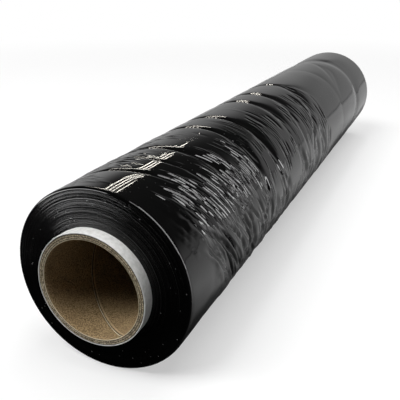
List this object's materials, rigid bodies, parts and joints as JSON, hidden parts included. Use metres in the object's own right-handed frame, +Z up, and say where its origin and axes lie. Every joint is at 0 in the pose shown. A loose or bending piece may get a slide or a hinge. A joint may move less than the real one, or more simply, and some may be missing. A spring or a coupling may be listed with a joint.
{
  "type": "stretch wrap roll",
  "caption": "Long roll of glossy black stretch wrap on a brown paperboard core, lying on its side, with core ends that stand out and an open bore.",
  "frame": {"origin": "on the floor, under the middle of the roll, which lies on its side on the small flat spot of its outer turns", "axes": "+Z up; +Y along the roll's axis, from the end that is looked at most to the far end; +X across the roll"},
  "size_m": [0.096, 0.517, 0.0955],
  "materials": {
    "core_board": "matt kraft paperboard, spiral wound",
    "core_cover_ply": "smooth white paper, slightly glossy",
    "film": "glossy black polyethylene stretch film, wound tight"
  },
  "bodies": {
    "root": {"core_board": "core_board", "core_cover_ply": "core_cover_ply", "film_roll": "film"}
  },
  "joints": []
}
